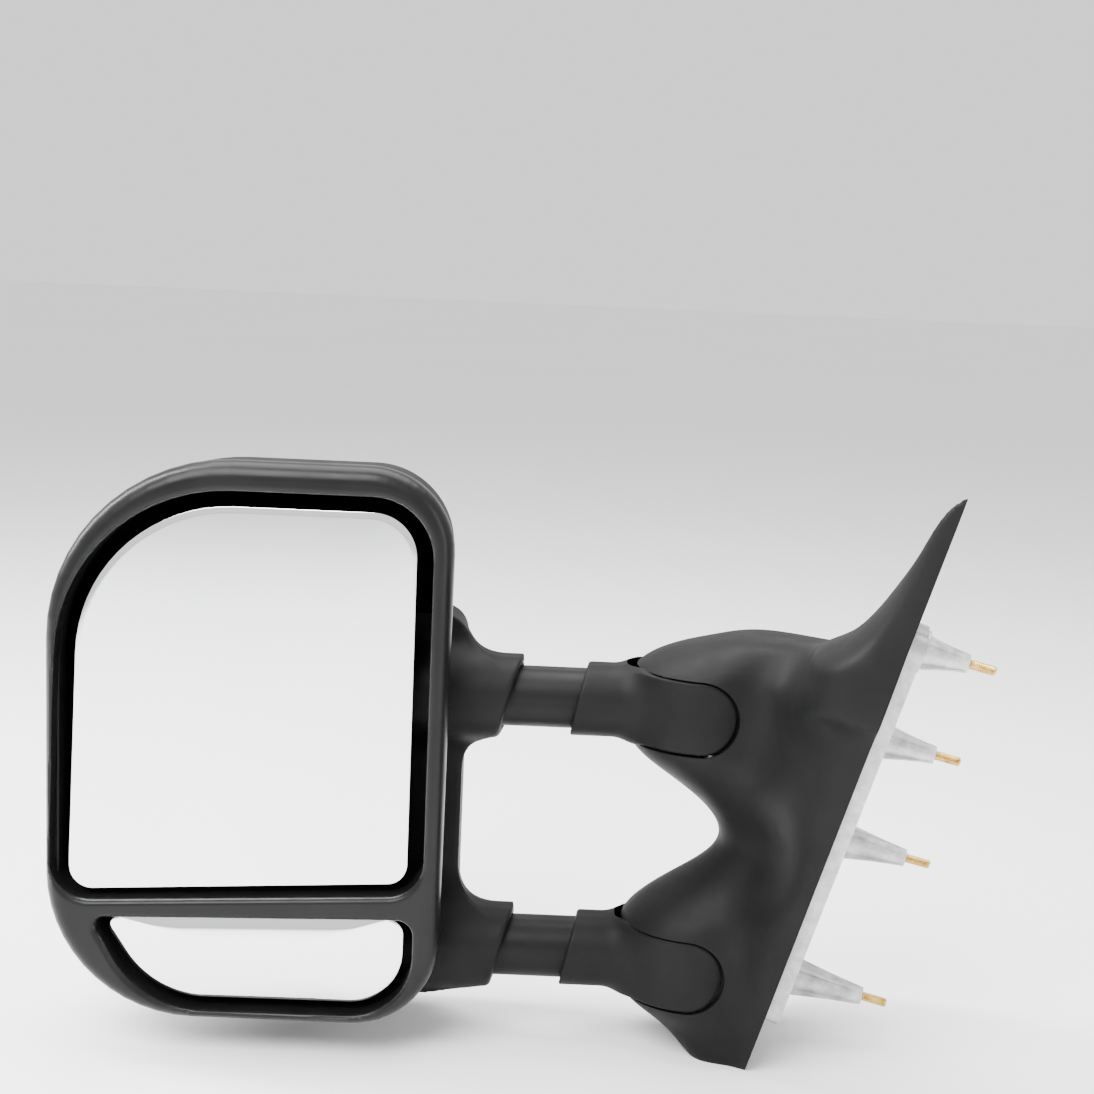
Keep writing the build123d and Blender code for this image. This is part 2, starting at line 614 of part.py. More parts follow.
BOSS_R = 4.5
with BuildPart() as cover:
    for y, z in COVER_BOSSES:
        with BuildSketch(DOOR.offset(-PLATE - 0.3)):
            with Locations(door_point(y, z)):
                Circle(BOSS_R)
        extrude(amount=-60)
    add(cover_outside.part, mode=Mode.INTERSECT)
    add(cover_outside.part - cover_cavity.part)
    for z in ARMS.values():
        add(cut_slots(z, SLOT_GAP * 0.6, LIP_R + 8), mode=Mode.SUBTRACT)
    for y, z in COVER_BOSSES:
        with BuildSketch(DOOR.offset(-PLATE)):
            with Locations(door_point(y, z)):
                Circle(SCREW_R + SCREW_FIT)
        extrude(amount=-SCREW_LEN, mode=Mode.SUBTRACT)
save(cover, "base_cover")
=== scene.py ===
import json
from math import cos, pi, radians, sin

import bmesh
import bpy
import numpy as np
from mathutils import Matrix, Vector


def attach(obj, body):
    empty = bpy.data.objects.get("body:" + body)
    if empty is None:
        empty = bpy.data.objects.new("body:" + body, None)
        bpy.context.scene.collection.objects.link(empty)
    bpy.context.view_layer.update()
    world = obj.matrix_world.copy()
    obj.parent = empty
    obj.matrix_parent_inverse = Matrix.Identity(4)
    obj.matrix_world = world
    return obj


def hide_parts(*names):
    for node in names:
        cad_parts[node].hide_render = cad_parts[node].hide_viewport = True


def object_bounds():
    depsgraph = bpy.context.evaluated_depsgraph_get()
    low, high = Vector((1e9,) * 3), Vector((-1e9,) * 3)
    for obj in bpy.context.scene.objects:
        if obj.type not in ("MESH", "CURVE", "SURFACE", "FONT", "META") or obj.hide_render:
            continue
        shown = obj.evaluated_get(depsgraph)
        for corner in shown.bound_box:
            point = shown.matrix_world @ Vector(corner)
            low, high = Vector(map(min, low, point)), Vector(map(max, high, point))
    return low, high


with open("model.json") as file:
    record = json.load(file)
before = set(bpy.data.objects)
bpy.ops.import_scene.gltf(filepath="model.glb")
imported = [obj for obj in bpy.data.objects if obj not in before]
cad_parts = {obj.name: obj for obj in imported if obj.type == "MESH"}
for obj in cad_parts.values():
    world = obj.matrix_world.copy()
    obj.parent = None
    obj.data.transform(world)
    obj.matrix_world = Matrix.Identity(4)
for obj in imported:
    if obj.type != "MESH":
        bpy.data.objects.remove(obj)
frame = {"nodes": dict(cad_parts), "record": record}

cad_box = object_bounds()

# Shapes are worked out in millimetres, in the CAD frame, and written to meshes in metres.
MM = 0.001

def unit(*vector):
    return np.array(vector) / np.linalg.norm(vector)


# ---- sizes shared with the CAD model ----
YAW, TUMBLEHOME = 12.0, 15.6
ARM_Z, PIVOT_X = 80.0, -90.0
KNUCKLE_R, KNUCKLE_H, SLOT_GAP, WALL = 45.5, 44.0, 1.0, 2.5
REAR_SLOT_X, FRONT_SLOT_X = -75.0, -60.0
TUBE_H, TUBE_D = 36.0, 38.0
SLEEVE_H, SLEEVE_D, SLEEVE_X = 44.0, 47.0, -168.0
COLLAR_H, COLLAR_D, COLLAR_X, COLLAR_ROOT_X = 50.0, 52.0, -209.0, -284.0
HEAD_X, HEAD_Z, HEAD_W, HEAD_H = -365.0, 54.5, 240.0, 337.0
RIM_Y, SHELL_Y = -60.0, -44.0
GLASS_Y, GLASS_T = -49.5, 2.2
MAIN_LIP, SPOTTER_LIP = 10.0, 6.0     # how far the bezel's openings stand outside each glass
COVER_EDGE = -9.0                     # the base cover's edge, measured along INWARD from the door
ARMS = {"upper": ARM_Z, "lower": -ARM_Z}
COLLAR_SLANT, SLEEVE_SLANT = unit(1, -0.12, -0.26), unit(1, -0.10, -0.20)     # normals of the slanted ends
STUD_DIR = unit(0.970, -0.118, -0.213)
STUDS = [(-71.3, 133.3, 44.4), (-10.6, 64.5, 50.0), (20.3, -9.1, 58.0), (10.8, -96.8, 62.0)]     # Y, Z, reach
STUD_R, STUD_OUT = 3.0, 16.0
INWARD = np.array([cos(radians(YAW)) * cos(radians(TUMBLEHOME)),
                   -sin(radians(YAW)) * cos(radians(TUMBLEHOME)), -sin(radians(TUMBLEHOME))])


# ------------------------------------------------------------------ materials
def new_material(name, **sockets):
    material = bpy.data.materials.new(name)
    material.use_nodes = True
    shader = material.node_tree.nodes["Principled BSDF"]
    for socket, value in sockets.items():
        shader.inputs[socket.replace("_", " ")].default_value = value
    return material, material.node_tree, shader


def add_node(tree, kind, links=(), **values):
    node = tree.nodes.new(kind)
    for key, value in values.items():
        if key in node.inputs:
            node.inputs[key].default_value = value
        else:
            setattr(node, key, value)
    for socket, source in links:
        tree.links.new(source, node.inputs[socket])
    return node


def noise(tree, scale, detail=3.0, roughness=0.5):
    coord = tree.nodes.get("place") or add_node(tree, "ShaderNodeTexCoord", name="place")
    return add_node(tree, "ShaderNodeTexNoise", [("Vector", coord.outputs["Object"])],
                    Scale=scale, Detail=detail, Roughness=roughness)


def ramp(tree, source, low, high, start=0.3, end=0.7):
    """A colour or value that runs from low to high as the source goes from start to end."""
    node = add_node(tree, "ShaderNodeValToRGB", [("Fac", source)])
    for element, place, colour in zip(node.color_ramp.elements, (start, end), (low, high)):
        element.position = place
        element.color = (*colour, 1.0) if hasattr(colour, "__len__") else (colour, colour, colour, 1.0)
    return node.outputs["Color"]


def bump(tree, shader, layers):
    """Stacks bumps: each layer is a height output, its strength and its depth in metres."""
    normal = None
    for height, strength, distance in layers:
        links = [("Height", height)] + ([("Normal", normal)] if normal else [])
        node = add_node(tree, "ShaderNodeBump", links, Strength=strength, Distance=distance)
        normal = node.outputs["Normal"]
    tree.links.new(normal, shader.inputs["Normal"])


def moulded_plastic(name, dark, light, rough, grain=1600.0, grain_depth=0.00006, specular=0.5):
    """Fine-grained moulded plastic: a faint mottle in its colour and gloss, and a leathery grain."""
    material, tree, shader = new_material(name, Specular_IOR_Level=specular)
    mottle = noise(tree, 22.0, 4.0).outputs["Fac"]
    tree.links.new(ramp(tree, mottle, dark, light), shader.inputs["Base Color"])
    tree.links.new(ramp(tree, noise(tree, 60.0, 5.0).outputs["Fac"], rough - 0.05, rough + 0.06),
                   shader.inputs["Roughness"])
    fine = noise(tree, grain, 2.0, 0.6).outputs["Fac"]
    bump(tree, shader, [(mottle, 0.05, 0.0004), (fine, 0.35, grain_depth)])
    return material


def mirror_glass(name, rough):
    """Silvered glass: a bright, slightly cool reflection with a trace of haze."""
    material, tree, shader = new_material(name, Metallic=1.0, Coat_Weight=0.4, Coat_Roughness=0.02)
    haze = noise(tree, 9.0, 3.0).outputs["Fac"]
    tree.links.new(ramp(tree, haze, (0.86, 0.875, 0.88), (0.90, 0.91, 0.915)), shader.inputs["Base Color"])
    tree.links.new(ramp(tree, haze, rough, rough + 0.015), shader.inputs["Roughness"])
    return material


def cast_metal(name, dark, light, rough=0.5):
    """Raw die-cast aluminium: blotchy, with fine pitting."""
    material, tree, shader = new_material(name, Metallic=0.75)
    blotch = noise(tree, 90.0, 6.0, 0.65).outputs["Fac"]
    tree.links.new(ramp(tree, blotch, dark, light, 0.35, 0.65), shader.inputs["Base Color"])
    tree.links.new(ramp(tree, blotch, rough - 0.08, rough + 0.12), shader.inputs["Roughness"])
    bump(tree, shader, [(blotch, 0.3, 0.0006), (noise(tree, 1400.0).outputs["Fac"], 0.3, 0.0001)])
    return material


def plated_metal(name, dark, light, rough=0.28):
    """Plated steel with faint turning streaks."""
    material, tree, shader = new_material(name, Metallic=1.0)
    streak = noise(tree, 240.0, 4.0).outputs["Fac"]
    tree.links.new(ramp(tree, streak, dark, light, 0.3, 0.7), shader.inputs["Base Color"])
    tree.links.new(ramp(tree, streak, rough - 0.08, rough + 0.1), shader.inputs["Roughness"])
    bump(tree, shader, [(streak, 0.15, 0.0001)])
    return material


CHARCOAL = moulded_plastic("charcoal_grained", (0.0045, 0.0045, 0.0048), (0.0068, 0.0068, 0.0072), 0.54,
                           specular=0.11)
SATIN = moulded_plastic("charcoal_satin", (0.0045, 0.0045, 0.0048), (0.0065, 0.0065, 0.0068), 0.34,
                        grain=2200.0, grain_depth=0.00003, specular=0.17)
TUBE_COAT = moulded_plastic("tube_powder_coat", (0.0038, 0.0038, 0.0042), (0.006, 0.006, 0.0064), 0.46,
                            grain=1100.0, specular=0.12)
INNER = moulded_plastic("inner_black", (0.004, 0.004, 0.004), (0.008, 0.008, 0.008), 0.6,
                        grain=900.0, grain_depth=0.00005, specular=0.25)
ACETAL = moulded_plastic("white_acetal", (0.62, 0.61, 0.57), (0.70, 0.69, 0.65), 0.4)
MIRROR = mirror_glass("silvered_flat", 0.03)
SPOT_MIRROR = mirror_glass("silvered_convex", 0.02)
CAST = cast_metal("cast_aluminium_raw", (0.34, 0.34, 0.345), (0.64, 0.64, 0.645))
ZINC = plated_metal("yellow_zinc", (0.55, 0.36, 0.10), (0.86, 0.66, 0.28))
STEEL = plated_metal("bright_zinc", (0.45, 0.45, 0.46), (0.68, 0.68, 0.69))


# ------------------------------------------------------------------ mesh helpers
def make_piece(name, points_mm, faces, material, body, replaces=(), angle=35.0):
    mesh = bpy.data.meshes.new(name)
    mesh.from_pydata([tuple(MM * float(c) for c in p) for p in points_mm], [], [tuple(f) for f in faces])
    mesh.update()
    piece = bpy.data.objects.new(name, mesh)
    bpy.context.scene.collection.objects.link(piece)
    tidy_mesh(mesh)
    return finish_piece(piece, material, body, replaces, angle)


def tidy_mesh(mesh):
    work = bmesh.new()
    work.from_mesh(mesh)
    bmesh.ops.remove_doubles(work, verts=work.verts, dist=1e-6)
    bmesh.ops.recalc_face_normals(work, faces=work.faces)
    if work.calc_volume(signed=True) < 0:
        bmesh.ops.reverse_faces(work, faces=work.faces)
    work.to_mesh(mesh)
    work.free()


def finish_piece(piece, material, body, replaces=(), angle=35.0):
    piece.data.materials.clear()
    piece.data.materials.append(material)
    piece.data.shade_smooth()
    piece.data.set_sharp_from_angle(angle=radians(angle))
    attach(piece, body)
    if replaces:
        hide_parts(*replaces)
    return piece


def cut(piece, cutters):
    """Cuts closed solids out of a piece, before it rides on its body."""
    for cutter in cutters:
        modifier = piece.modifiers.new("cut", "BOOLEAN")
        modifier.object = cutter
        modifier.solver = "MANIFOLD"
        apply_modifier(piece, modifier)
        bpy.data.objects.remove(cutter)


def raw_solid(points_mm, faces):
    mesh = bpy.data.meshes.new("cutter")
    mesh.from_pydata([tuple(MM * float(c) for c in p) for p in points_mm], [], [tuple(f) for f in faces])
    tidy_mesh(mesh)
    solid = bpy.data.objects.new("cutter", mesh)
    bpy.context.scene.collection.objects.link(solid)
    return solid


def apply_modifier(piece, modifier):
    with bpy.context.temp_override(object=piece, active_object=piece, selected_objects=[piece]):
        bpy.ops.object.modifier_apply(modifier=modifier.name)


def loft_faces(rows, columns, closed=True):
    """Quads between successive rings of points."""
    faces = []
    last = columns if closed else columns - 1
    for r in range(rows - 1):
        for c in range(last):
            n = (c + 1) % columns
            faces.append((r * columns + c, r * columns + n, (r + 1) * columns + n, (r + 1) * columns + c))
    return faces


def prism(outline, place, low, high):
    """A closed prism: place(u, v, w) turns an outline point and a height into a 3-D point."""
    n = len(outline)
    points = [place(u, v, w) for w in (low, high) for u, v in outline]
    faces = loft_faces(2, n) + [tuple(range(n))[::-1], tuple(range(n, 2 * n))]
    return points, faces


# ------------------------------------------------------------------ outlines
def rounded_polygon(corners, radii, arc_steps=14, side_steps=10):
    """A closed outline with a different round at each corner, anticlockwise, evenly sampled."""
    corners = [np.array(c, float) for c in corners]
    count = len(corners)
    arcs = []
    for i, (corner, radius) in enumerate(zip(corners, radii)):
        back = corners[i - 1] - corner
        ahead = corners[(i + 1) % count] - corner
        back /= np.linalg.norm(back)
        ahead /= np.linalg.norm(ahead)
        half = np.arccos(np.clip(back @ ahead, -1, 1)) / 2
        centre = corner + (back + ahead) / np.linalg.norm(back + ahead) * radius / sin(half)
        start = corner + back * radius / np.tan(half) - centre
        sweep = pi - 2 * half
        turns = np.linspace(0, sweep, arc_steps)
        arcs.append([centre + np.array([start[0] * cos(t) - start[1] * sin(t),
                                        start[0] * sin(t) + start[1] * cos(t)]) for t in turns])
    outline = []
    for i, arc in enumerate(arcs):
        outline += arc
        following = arcs[(i + 1) % count][0]
        outline += [arc[-1] + (following - arc[-1]) * s / side_steps for s in range(1, side_steps)]
    return np.array(outline)


def head_outline(inset, **steps):
    """The head seen from behind, in U to the right and V upward from its middle."""
    w, h = HEAD_W / 2 - inset, HEAD_H / 2 - inset
    return rounded_polygon([(-w + 4, -h), (w - 2, -h), (w, h), (-w + 3, h)],
                           [max(r - 0.6 * inset, 12) for r in (88, 52, 50, 108)], **steps)


def main_outline(g=0.0, **steps):
    """The main glass seen from behind, grown by g; its foot grows less, towards the crossbar."""
    bottom, top = -g / 2, 141.5 + g
    return rounded_polygon([(-104 - g, bottom - 92.5), (98 + g, bottom - 81), (98 + g, top), (-98 - g, top)],
                           [14 + g, 12 + g, 26 + g, 92 + g], **steps)


def spot_outline(g=0.0, **steps):
    """The spotter glass seen from behind, grown by g."""
    top = 0.4 * g
    return rounded_polygon([(-84 - g, top - 109), (-52 - g, -157 - g), (97 + g, -156 - g), (97 + g, top - 103)],
                           [6, 56 + g, 32 + g, 10], **steps)


def oval_outline(height, depth, **steps):
    """An arm's section in Y and Z."""
    d, h = depth / 2, height / 2
    return rounded_polygon([(-d, -h), (d, -h), (d, h), (-d, h)], [height * 0.44] * 4, **steps)


def on_head(u, v, y):
    return (HEAD_X + u, y, HEAD_Z + v)


# ------------------------------------------------------------------ signed distance shapes
def outline_distance(u, v, outline):
    """Signed distance to a closed outline, negative inside. A grid is worked out on one layer only."""
    if u.ndim == 3:
        for axis in range(3):
            if all(np.ptp(w[:2, :2, :2], axis=axis).max() == 0 for w in (u, v)):
                layer = outline_distance(u.take(0, axis), v.take(0, axis), outline)
                return np.expand_dims(layer, axis)
    best = np.full(u.shape, 1e9)
    inside = np.zeros(u.shape, bool)
    for a, b in zip(outline, np.roll(outline, -1, axis=0)):
        ex, ey = b - a
        length2 = ex * ex + ey * ey
        if length2 < 1e-12:
            continue
        t = np.clip(((u - a[0]) * ex + (v - a[1]) * ey) / length2, 0, 1)
        best = np.minimum(best, (u - a[0] - t * ex) ** 2 + (v - a[1] - t * ey) ** 2)
        crosses = (a[1] > v) != (b[1] > v)
        inside ^= crosses & (u < a[0] + (v - a[1]) * ex / (ey if abs(ey) > 1e-12 else 1e-12))
    return np.where(inside, -1, 1) * np.sqrt(best)


def rounded_edge(side, top, radius):
    """The solid inside both surfaces, its edge between them rounded."""
    a, b = side + radius, top + radius
    return np.minimum(np.maximum(a, b), 0) + np.hypot(np.maximum(a, 0), np.maximum(b, 0)) - radius


def blend_union(a, b, k):
    h = np.maximum(k - np.abs(a - b), 0) / k
    return np.minimum(a, b) - h * h * k / 4


def smooth_cut(a, b, k):
    """a with b taken away, the edge softened."""
    return -blend_union(-a, b, k)


def grid_between(low, high, step):
    axes = [np.arange(l, h + step, step) for l, h in zip(low, high)]
    return np.meshgrid(*axes, indexing="ij")


def surface_net(grid, values, step):
    """Quads round a grid's zero surface, with a point in each cell that the surface crosses.

    The zero surface must not reach the grid's boundary."""
    inside = values < 0
    shape = tuple(n - 1 for n in values.shape)
    total, hits = np.zeros(shape + (3,)), np.zeros(shape)
    for axis in range(3):
        others = [a for a in range(3) if a != axis]
        for p in (0, 1):
            for q in (0, 1):
                start = [slice(None)] * 3
                start[others[0]] = slice(p, p + shape[others[0]])
                start[others[1]] = slice(q, q + shape[others[1]])
                end = list(start)
                start[axis], end[axis] = slice(0, shape[axis]), slice(1, shape[axis] + 1)
                a, b = values[tuple(start)], values[tuple(end)]
                crossed = (a < 0) != (b < 0)
                t = np.where(crossed, a / np.where(crossed, a - b, 1), 0)
                offset = np.zeros(3)
                offset[others[0]], offset[others[1]] = p, q
                total += crossed[..., None] * offset
                total[..., axis] += t * crossed
                hits += crossed
    cells = np.argwhere(hits > 0)
    index = -np.ones(shape, int)
    index[tuple(cells.T)] = np.arange(len(cells))
    corner = np.array([g[0, 0, 0] for g in grid])
    points = (cells + total[tuple(cells.T)] / hits[tuple(cells.T)][:, None]) * step + corner
    faces = []
    for axis in range(3):
        others = [a for a in range(3) if a != axis]
        start, end = [slice(1, -1)] * 3, [slice(1, -1)] * 3
        start[axis], end[axis] = slice(0, -1), slice(1, None)
        a, b = inside[tuple(start)], inside[tuple(end)]
        for forward in (True, False):
            at = np.argwhere((a & ~b) if forward else (~a & b))
            at[:, others] += 1
            ring = []
            for dp, dq in ((0, 0), (1, 0), (1, 1), (0, 1)):
                cell = at.copy()
                cell[:, others[0]] -= dp
                cell[:, others[1]] -= dq
                ring.append(index[tuple(cell.T)])
            quad = np.stack(ring if forward else ring[::-1], axis=1)
            faces.append(quad[(quad >= 0).all(axis=1)])
    return points, np.concatenate(faces)


def net_mesh(field, low, high, step):
    """Surface net of a signed distance field, its points then pulled onto the surface."""
    grid = grid_between(low, high, step)
    points, faces = surface_net(grid, field(*grid), step)
    e = 0.05 * step
    for _ in range(2):
        here = field(*points.T)
        slope = np.stack([(field(*(points + d).T) - field(*(points - d).T)) / (2 * e)
                          for d in np.eye(3) * e], axis=1)
        pull = here / np.maximum((slope ** 2).sum(1), 0.25)
        points = points - np.clip(pull, -0.4 * step, 0.4 * step)[:, None] * slope
    return points, faces


# ------------------------------------------------------------------ head
def build_head_shell():
    """Open moulded box with a soft domed front, made as an outer and an inner skin."""
    profile = [(SHELL_Y, 2.0), (-25, 2.1), (-6, 2.6), (6, 3.8), (16, 6.4),      # depth and inset of the outline
               (25, 11.5), (32, 19), (38, 30), (42, 44)]
    y_of, inset_of = np.array(profile).T
    path = np.concatenate([[0], np.cumsum(np.hypot(np.diff(y_of), np.diff(inset_of)))])
    samples = np.linspace(0, path[-1], 46)
    ys, insets = smooth_line(path, y_of, samples), smooth_line(path, inset_of, samples)
    rings = [[on_head(u, v, y) for u, v in head_outline(inset, arc_steps=20, side_steps=14)]
             for y, inset in zip(ys, insets)]
    last = head_outline(insets[-1], arc_steps=20, side_steps=14)
    centre = last.mean(axis=0)
    for s in np.linspace(0.95, 0.02, 18):
        rings.append([on_head(*(centre + (p - centre) * s), ys[-1] + 4.5 * (1 - s ** 2)) for p in last])
    columns = len(rings[0])
    outer = [p for ring in rings for p in ring]
    faces = loft_faces(len(rings), columns)
    faces.append(tuple((len(rings) - 1) * columns + c for c in range(columns)))
    inner_rings = [[on_head(u, v, min(y, ys[-1] - WALL))
                    for u, v in head_outline(inset + WALL, arc_steps=20, side_steps=14)]
                   for y, inset in zip(ys[::3], insets[::3])]
    base = len(outer)
    inner = [p for ring in inner_rings for p in ring]
    faces += [tuple(base + i for i in face) for face in loft_faces(len(inner_rings), columns)]
    faces.append(tuple(base + (len(inner_rings) - 1) * columns + c for c in range(columns)))
    faces += [(c, (c + 1) % columns, base + (c + 1) % columns, base + c) for c in range(columns)]
    shell = raw_solid(outer + inner, faces)
    shell.name = "head_shell_skin"
    cutters = []
    for z in ARMS.values():
        outline = oval_outline(COLLAR_H + 0.6, COLLAR_D + 0.6)
        cutters.append(raw_solid(*prism(outline, lambda u, v, w: (w, u, z + v), COLLAR_ROOT_X - 2, -230)))
    cut(shell, cutters)
    finish_piece(shell, CHARCOAL, "head", ["head_shell"], 40)


def smooth_line(x, y, at):
    """Monotone cubic through the points, so that it never overshoots them."""
    x, y, at = np.array(x, float), np.array(y, float), np.array(at, float)
    h, d = np.diff(x), np.diff(y) / np.diff(x)
    m = np.zeros(len(x))
    for i in range(1, len(x) - 1):
        if d[i - 1] * d[i] > 0:
            w1, w2 = 2 * h[i] + h[i - 1], h[i] + 2 * h[i - 1]
            m[i] = (w1 + w2) / (w1 / d[i - 1] + w2 / d[i])
    m[0], m[-1] = d[0], d[-1]
    k = np.clip(np.searchsorted(x, at) - 1, 0, len(x) - 2)
    t = (at - x[k]) / h[k]
    return ((1 + 2 * t) * (1 - t) ** 2 * y[k] + t * (1 - t) ** 2 * h[k] * m[k]
            + t * t * (3 - 2 * t) * y[k + 1] + t * t * (t - 1) * h[k] * m[k + 1])


def build_bezel():
    """A convex ring with a crossbar: a large round outside, a small one at each opening."""
    outer = head_outline(0, side_steps=1)
    openings = [main_outline(MAIN_LIP, side_steps=1), spot_outline(SPOTTER_LIP, side_steps=1)]
    outer_round, lip_round = 10.0, 3.2

    def bezel(x, y, z):
        u, v, front = x - HEAD_X, z - HEAD_Z, RIM_Y - y
        ring = rounded_edge(outline_distance(u, v, outer), front, outer_round)
        for opening in openings:
            ring = np.maximum(ring, rounded_edge(-outline_distance(u, v, opening), front, lip_round))
        return np.maximum(ring, y - SHELL_Y)

    low = (HEAD_X - HEAD_W / 2 - 3, RIM_Y - 3, HEAD_Z - HEAD_H / 2 - 3)
    high = (HEAD_X + HEAD_W / 2 + 3, SHELL_Y + 3, HEAD_Z + HEAD_H / 2 + 3)
    points, faces = net_mesh(bezel, low, high, 1.1)
    make_piece("bezel_ring", points, faces, SATIN, "head", ["bezel"], 50)


def build_recess():
    """The dark inner walls behind the bezel's two openings."""
    start, depth = SHELL_Y - 2, -31.0
    left_limit = -110.4     # the walls stay inside the shell's outboard side
    for name, outline_of, lip in (("main", main_outline, MAIN_LIP), ("spotter", spot_outline, SPOTTER_LIP)):
        inner, outer = outline_of(lip + 0.2), outline_of(lip + 1.6)
        inner[:, 0] = np.maximum(inner[:, 0], left_limit)
        outer[:, 0] = np.maximum(outer[:, 0], left_limit - 1)
        n = len(inner)
        rings = [[on_head(u, v, y) for u, v in line]
                 for line, y in ((inner, start), (inner, depth), (outer, depth), (outer, start))]
        points = [p for ring in rings for p in ring]
        faces = loft_faces(4, n) + [(3 * n + c, 3 * n + (c + 1) % n, (c + 1) % n, c) for c in range(n)]
        make_piece(f"{name}_recess_wall", points, faces, INNER, "head")


def build_glasses():
    """Each glass is a thin plate with a ground edge; the spotter is convex."""
    for name, outline_of, crown, material in (("main", main_outline, 0.6, MIRROR),
                                              ("spotter", spot_outline, 2.6, SPOT_MIRROR)):
        line = outline_of(0, arc_steps=18, side_steps=14)
        centre = line.mean(axis=0)
        n = len(line)
        rings = []
        for inset, behind in ((0.0, GLASS_T), (0.0, 0.5), (0.15, 0.15), (0.5, 0.0)):
            shrunk = outline_of(-inset, arc_steps=18, side_steps=14)
            rings.append([on_head(u, v, GLASS_Y + behind) for u, v in shrunk])
        front = outline_of(-0.5, arc_steps=18, side_steps=14)
        for s in np.linspace(0.97, 0.03, 26):
            rings.append([on_head(*(centre + (p - centre) * s), GLASS_Y - crown * (1 - s ** 2)) for p in front])
        points = [p for ring in rings for p in ring]
        faces = loft_faces(len(rings), n)
        faces += [tuple((len(rings) - 1) * n + c for c in range(n)), tuple(range(n))[::-1]]
        make_piece(f"{name}_mirror", points, faces, material, f"{name}_mirror",
                   [f"{name}_glass"], 25)


def build_wing():
    """Cover over the inboard half of the head's front, flowing into a collar round each tube."""
    left, right, bottom, top = -28.0, 126.0, -166.0, 74.0
    face = rounded_polygon([(left, bottom), (right, bottom), (right, top), (left, top)],
                           [44, 24, 16, 70], side_steps=1)
    oval = oval_outline(COLLAR_H, COLLAR_D, side_steps=1)
    bore = oval_outline(TUBE_H + 3, TUBE_D + 3, side_steps=1)
    room_x, room = -308.0, 3.5      # from here outboard the bores clear the tubes' end stops

    def wing(x, y, z):
        u, v = x - HEAD_X, z - HEAD_Z
        crown = 59.0 - 0.0008 * ((u - 50) ** 2 + 0.5 * (v + 46) ** 2)
        solid = rounded_edge(outline_distance(u, v, face), y - crown, 14.0)
        solid = np.maximum(solid, 4.0 - y)
        bores = 1e9
        for arm_z in ARMS.values():
            end = (x - COLLAR_X) * COLLAR_SLANT[0] + y * COLLAR_SLANT[1] + (z - arm_z) * COLLAR_SLANT[2]
            tube = rounded_edge(np.maximum(outline_distance(y, z - arm_z, oval), COLLAR_ROOT_X - x), end, 2.5)
            solid = blend_union(solid, tube, 26.0)
            widening = room * np.clip((room_x - x) / 4, 0, 1)
            bores = np.minimum(bores, outline_distance(y, z - arm_z, bore) - widening)
        return smooth_cut(solid, bores, 1.5)

    points, faces = net_mesh(wing, (-398, -30, -116), (-204, 64, 134), 1.6)
    make_piece("wing_cover_skin", points, faces, CHARCOAL, "head", ["wing_cover"], 50)


# ------------------------------------------------------------------ arms
def slot_outline(grow, end_x):
    """Half of a slot seen along Y, with its round inboard end."""
    half = KNUCKLE_H / 2 + grow
    right = end_x + grow
    arc = [(right - half + half * cos(t), half * sin(t)) for t in np.linspace(-pi / 2, pi / 2, 28)]
    return [(PIVOT_X - 75, -half)] + arc + [(PIVOT_X - 75, half)]


def build_sleeve(arm, z0):
    """Moulded sleeve over the tube's root, flaring into the drum-shaped knuckle."""
    oval = oval_outline(SLEEVE_H, SLEEVE_D, side_steps=1)
    bore = oval_outline(TUBE_H + 0.4, TUBE_D + 0.4, side_steps=1)
    rear, front = np.array(slot_outline(0, REAR_SLOT_X)), np.array(slot_outline(0, FRONT_SLOT_X))

    def sleeve(x, y, z):
        v = z - z0
        drum = np.hypot(x - PIVOT_X, y) - KNUCKLE_R
        slot = np.where(y < 0, outline_distance(x, v, rear), outline_distance(x, v, front))
        knuckle = rounded_edge(drum, slot, 1.6)
        arm_tube = outline_distance(y, v, oval)
        end = (SLEEVE_X - x) * SLEEVE_SLANT[0] - y * SLEEVE_SLANT[1] - v * SLEEVE_SLANT[2]
        arm_tube = rounded_edge(np.maximum(arm_tube, x - (PIVOT_X - 20)), end, 1.4)
        solid = blend_union(knuckle, arm_tube, 14.0)
        inner_drum = rounded_edge(drum + 1.5, np.abs(v) - 20.6, 1.0)     # closes the slots when folded
        solid = smooth_cut(np.minimum(solid, inner_drum), drum + 3.5, 0.6)
        return smooth_cut(solid, np.maximum(outline_distance(y, v, bore), x - (PIVOT_X - 38)), 0.8)

    half = KNUCKLE_H / 2 + 2
    low = (SLEEVE_X - 8, -KNUCKLE_R - 2, z0 - half)
    high = (PIVOT_X + KNUCKLE_R + 2, KNUCKLE_R + 2, z0 + half)
    points, faces = net_mesh(sleeve, low, high, 1.0)
    make_piece(f"{arm}_sleeve_skin", points, faces, CHARCOAL, "arms",
               [f"{arm}_arm_sleeve"], 50)


# ------------------------------------------------------------------ base
BODY = [  # height, front edge's y, nose's x and y, nose radius
    (-142, -10, -90, -30, 15), (-118, 52, -113, -4, 36), (-108, 70, -132, 0, 45),
    (-103.5, 78, -139, 0, 49), (-56.5, 84, -139, 0, 49),
    (-47, 82, -129, 0, 44), (-33, 76, -110, 0, 38), (-18, 70, -86, 0, 34), (-3, 64, -76, 0, 34),
    (12, 57, -83, 0, 34), (26, 51, -98, 0, 36), (38, 47, -115, 0, 40), (48, 42, -130, 0, 45),
    (56.5, 37, -139, 0, 49), (103.5, 1, -139, 0, 49),
    (111, -7, -126, 0, 45), (119, -16, -108, -2, 40), (125, -22, -80, -10, 34)]
SAIL = [  # height, front edge's y, thickness
    (130, -28, 50), (140, -40, 36), (158, -64, 25), (176, -90, 19),
    (198, -124, 14), (222, -150, 12), (246, -167, 7)]
REAR_ANGLE, FRONT_ANGLE, TROUGH_EASE = 110, 118, 46      # the arcs are shorter between the arms


